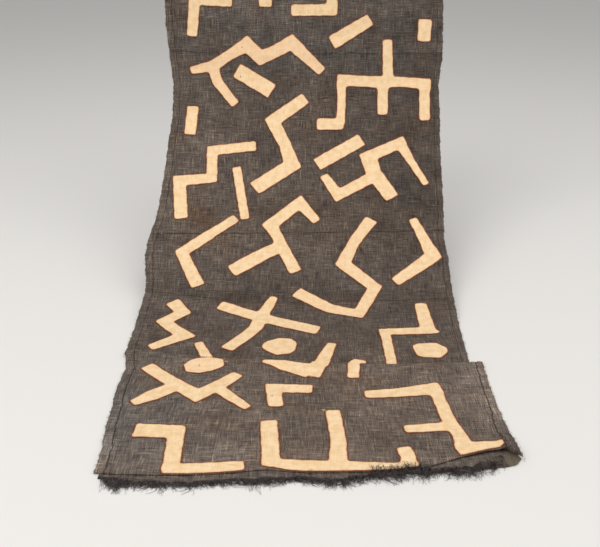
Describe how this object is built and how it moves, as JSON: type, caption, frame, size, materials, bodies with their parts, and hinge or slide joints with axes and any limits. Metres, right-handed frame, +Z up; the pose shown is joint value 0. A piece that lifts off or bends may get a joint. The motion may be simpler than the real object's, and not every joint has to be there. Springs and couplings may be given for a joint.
{
  "type": "kuba cloth",
  "caption": "Long dark raffia cloth with cream geometric appliqué and a short fringe, hung from its top edge and sweeping forward onto the floor.",
  "frame": {"origin": "middle of the cloth's top edge, where it is held", "axes": "+Z up; +X to the right of someone who faces the cloth; -Y towards them, the way the cloth sweeps out over the floor"},
  "size_m": [0.6341, 1.0228, 0.64],
  "materials": {
    "ground": "matte plain-woven raffia, dark grey-brown",
    "front_ground": "matte plain-woven raffia, greyer and paler",
    "applique": "matte cream raffia cloth with brown edge stitches",
    "fringe": "matte near-black raffia strands"
  },
  "bodies": {
    "root": {"ground_1": "ground", "ground_2": "ground", "ground_3": "ground", "ground_4": "ground", "ground_5": "front_ground", "fringe_strip": "fringe", "applique_01_angle_top_left": "applique", "applique_02_bar_top": "applique", "applique_03_foot_top": "applique", "applique_04_bar_slant_top": "applique", "applique_05_block_top_right": "applique", "applique_06_forked_zigzag": "applique", "applique_07_bar_slant_left": "applique", "applique_08_trident": "applique", "applique_09_bar_left": "applique", "applique_10_bend_middle": "applique", "applique_11_bar_slant_middle": "applique", "applique_12_stair": "applique", "applique_13_bar_thin": "applique", "applique_14_hooked_fork": "applique", "applique_15_bend_with_arm": "applique", "applique_16_corner_left": "applique", "applique_17_long_bend": "applique", "applique_18_chevron_right": "applique", "applique_19_small_zigzag": "applique", "applique_20_cross_middle": "applique", "applique_21_lozenge_middle": "applique", "applique_22_post_left": "applique", "applique_23_lozenge_left": "applique", "applique_24_check_arm": "applique", "applique_25_check_foot": "applique", "applique_26_wedge_tip": "applique", "applique_27_wedge": "applique", "applique_28_stepped_bar": "applique", "applique_29_lozenge_right": "applique", "applique_30_double_cross": "applique", "applique_31_angle_middle": "applique", "applique_32_comb_right": "applique", "applique_33_stepped_angle_left": "applique", "applique_34_long_comb": "applique"}
  },
  "joints": []
}
